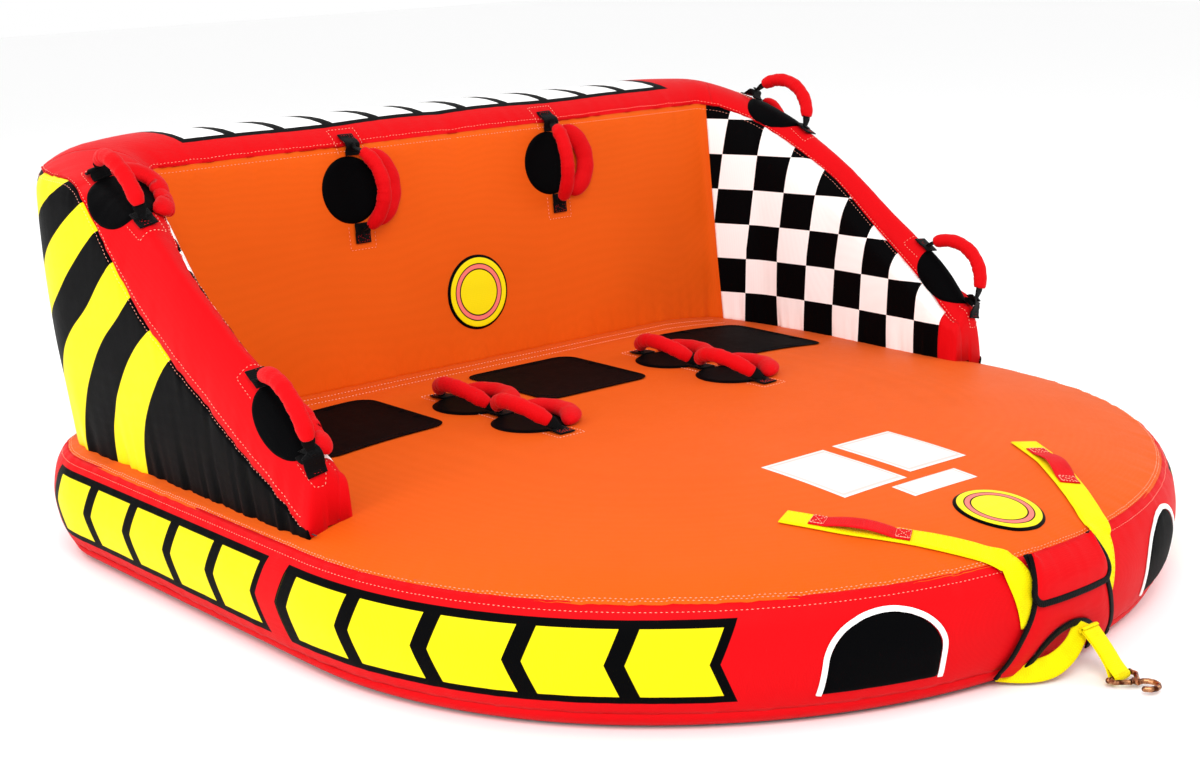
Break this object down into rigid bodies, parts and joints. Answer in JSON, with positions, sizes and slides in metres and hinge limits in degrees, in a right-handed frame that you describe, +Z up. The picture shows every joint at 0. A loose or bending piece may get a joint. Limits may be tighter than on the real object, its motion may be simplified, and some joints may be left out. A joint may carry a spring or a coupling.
{
  "type": "towable tube",
  "caption": "Inflated D-shaped towable water tube with a raised backrest, sloping side wings, seat pads, flopping grab handles, towing straps and a hinged tow hook.",
  "frame": {"origin": "middle of the deck's length and width, at floor level", "axes": "+Z up; -Y towards the nose and the tow hook; +X towards the riders' left"},
  "size_m": [1.815, 2.0164, 0.7842],
  "materials": {
    "bladder_vinyl": "satin vinyl",
    "orange_cloth": "coated nylon",
    "red_cloth": "coated nylon",
    "red_foam": "matt foam sleeve",
    "checker_cloth": "printed black and white squares",
    "striped_cloth": "printed black and yellow stripes",
    "yellow_webbing": "woven",
    "black_webbing": "woven",
    "black_cloth": "coated nylon",
    "valve_plastic": "moulded",
    "bronze": "cast, worn",
    "zip_metal": "worn",
    "label_vinyl": "blank",
    "badge_vinyl": "printed rings"
  },
  "bodies": {
    "tube": {"deck_bladder": "bladder_vinyl", "deck_top_panel": "orange_cloth", "deck_side_band": "red_cloth", "deck_bottom_panel": "black_cloth", "backrest_bladder": "bladder_vinyl", "backrest_front_panel": "orange_cloth", "backrest_top_band": "red_cloth", "backrest_rear_panel": "striped_cloth", "left_wing_inner_panel": "checker_cloth", "left_wing_outer_panel": "striped_cloth", "left_wing_edge_band": "red_cloth", "right_wing_inner_panel": "checker_cloth", "right_wing_outer_panel": "striped_cloth", "right_wing_edge_band": "red_cloth", "left_seat_pad": "black_cloth", "middle_seat_pad": "black_cloth", "right_seat_pad": "black_cloth", "knuckle_guards": "red_cloth", "handle_base_discs": "black_cloth", "handle_anchor_tabs": "black_webbing", "tow_straps": "yellow_webbing", "grab_straps": "red_cloth", "nose_panel": "red_cloth", "nose_panel_binding": "black_webbing", "tow_bridle": "yellow_webbing", "blank_labels": "label_vinyl", "round_badges": "badge_vinyl", "scuff_patches": "black_cloth", "deck_valve": "valve_plastic", "backrest_valve": "valve_plastic", "zipper": "black_cloth"},
    "left_deck_rear_handle": {"left_deck_rear_handle_grip": "red_foam", "left_deck_rear_handle_webbing": "black_webbing"},
    "left_deck_front_handle": {"left_deck_front_handle_grip": "red_foam", "left_deck_front_handle_webbing": "black_webbing"},
    "left_backrest_handle": {"left_backrest_handle_grip": "red_foam", "left_backrest_handle_webbing": "black_webbing"},
    "left_wing_upper_handle": {"left_wing_upper_handle_grip": "red_foam", "left_wing_upper_handle_webbing": "black_webbing"},
    "left_wing_lower_handle": {"left_wing_lower_handle_grip": "red_foam", "left_wing_lower_handle_webbing": "black_webbing"},
    "right_deck_rear_handle": {"right_deck_rear_handle_grip": "red_foam", "right_deck_rear_handle_webbing": "black_webbing"},
    "right_deck_front_handle": {"right_deck_front_handle_grip": "red_foam", "right_deck_front_handle_webbing": "black_webbing"},
    "right_backrest_handle": {"right_backrest_handle_grip": "red_foam", "right_backrest_handle_webbing": "black_webbing"},
    "right_wing_upper_handle": {"right_wing_upper_handle_grip": "red_foam", "right_wing_upper_handle_webbing": "black_webbing"},
    "right_wing_lower_handle": {"right_wing_lower_handle_grip": "red_foam", "right_wing_lower_handle_webbing": "black_webbing"},
    "nose_flap": {"nose_flap": "red_cloth"},
    "tow_leash": {"tow_leash": "yellow_webbing"},
    "quick_connector": {"quick_connector": "bronze"},
    "deck_valve_cap": {"deck_valve_cap": "valve_plastic"},
    "backrest_valve_cap": {"backrest_valve_cap": "valve_plastic"},
    "deck_valve_flap": {"deck_valve_flap": "black_cloth"},
    "backrest_valve_flap": {"backrest_valve_flap": "black_cloth"},
    "zipper_slider": {"zipper_slider": "zip_metal"},
    "zipper_pull": {"zipper_pull": "zip_metal"}
  },
  "joints": [
    {"name": "left_deck_rear_handle_flop", "type": "hinge", "parent": "tube", "child": "left_deck_rear_handle", "pos_m": [0.256, 0.257, 0.269], "axis": [0, 1, 0], "range_deg": [-16, 84], "stiffness_Nm_per_rad": 0.05},
    {"name": "left_deck_front_handle_flop", "type": "hinge", "parent": "tube", "child": "left_deck_front_handle", "pos_m": [0.256, 0.079, 0.269], "axis": [0, 1, 0], "range_deg": [-16, 84], "stiffness_Nm_per_rad": 0.05},
    {"name": "left_backrest_handle_flop", "type": "hinge", "parent": "tube", "child": "left_backrest_handle", "pos_m": [0.252, 0.6016, 0.63677], "axis": [0, 0.1093, 0.994], "range_deg": [-48, 52], "stiffness_Nm_per_rad": 0.05},
    {"name": "left_wing_upper_handle_flop", "type": "hinge", "parent": "tube", "child": "left_wing_upper_handle", "pos_m": [0.82031, 0.49301, 0.70894], "axis": [0, 0.9015, 0.4327], "range_deg": [-64, 36], "stiffness_Nm_per_rad": 0.05},
    {"name": "left_wing_lower_handle_flop", "type": "hinge", "parent": "tube", "child": "left_wing_lower_handle", "pos_m": [0.82031, -0.00449, 0.3994], "axis": [0, 0.8269, 0.5623], "range_deg": [-64, 36], "stiffness_Nm_per_rad": 0.05},
    {"name": "right_deck_rear_handle_flop", "type": "hinge", "parent": "tube", "child": "right_deck_rear_handle", "pos_m": [-0.256, 0.257, 0.269], "axis": [0, 1, 0], "range_deg": [-16, 84], "stiffness_Nm_per_rad": 0.05},
    {"name": "right_deck_front_handle_flop", "type": "hinge", "parent": "tube", "child": "right_deck_front_handle", "pos_m": [-0.256, 0.079, 0.269], "axis": [0, 1, 0], "range_deg": [-16, 84], "stiffness_Nm_per_rad": 0.05},
    {"name": "right_backrest_handle_flop", "type": "hinge", "parent": "tube", "child": "right_backrest_handle", "pos_m": [-0.252, 0.6016, 0.63677], "axis": [0, 0.1093, 0.994], "range_deg": [-86, 14], "stiffness_Nm_per_rad": 0.05},
    {"name": "right_wing_upper_handle_flop", "type": "hinge", "parent": "tube", "child": "right_wing_upper_handle", "pos_m": [-0.82031, 0.49301, 0.70894], "axis": [0, 0.9015, 0.4327], "range_deg": [-64, 36], "stiffness_Nm_per_rad": 0.05},
    {"name": "right_wing_lower_handle_flop", "type": "hinge", "parent": "tube", "child": "right_wing_lower_handle", "pos_m": [-0.82031, -0.00449, 0.3994], "axis": [0, 0.8269, 0.5623], "range_deg": [-64, 36], "stiffness_Nm_per_rad": 0.05},
    {"name": "nose_flap_lift", "type": "hinge", "parent": "tube", "child": "nose_flap", "pos_m": [0, -0.9089, 0.197], "axis": [-1, 0, 0], "range_deg": [0, 110]},
    {"name": "tow_leash_swing", "type": "hinge", "parent": "tube", "child": "tow_leash", "pos_m": [0.024, -0.946, 0.072], "axis": [-1, 0, 0], "range_deg": [-25, 90]},
    {"name": "quick_connector_swing", "type": "hinge", "parent": "tow_leash", "child": "quick_connector", "pos_m": [0.024, -1.004, 0.0095], "axis": [-1, 0, 0], "range_deg": [-60, 75]},
    {"name": "deck_valve_cap_turn", "type": "hinge", "parent": "tube", "child": "deck_valve_cap", "pos_m": [-0.32, 0.92, 0.112], "axis": [0, 1, 0], "continuous": true},
    {"name": "backrest_valve_cap_turn", "type": "hinge", "parent": "tube", "child": "backrest_valve_cap", "pos_m": [0.32, 0.879, 0.42], "axis": [0, 1, 0], "continuous": true},
    {"name": "deck_valve_flap_lift", "type": "hinge", "parent": "tube", "child": "deck_valve_flap", "pos_m": [-0.32, 0.9272, 0.164], "axis": [1, 0, 0], "range_deg": [0, 110]},
    {"name": "backrest_valve_flap_lift", "type": "hinge", "parent": "tube", "child": "backrest_valve_flap", "pos_m": [0.32, 0.894, 0.472], "axis": [1, 0, 0], "range_deg": [0, 110]},
    {"name": "zipper_slide", "type": "slide", "parent": "tube", "child": "zipper_slider", "axis": [1, 0, 0], "range_m": [0, 0.98]},
    {"name": "zipper_pull_flip", "type": "hinge", "parent": "zipper_slider", "child": "zipper_pull", "pos_m": [-0.49, 0.937, 0.044], "axis": [1, 0, 0], "range_deg": [0, 165]}
  ]
}
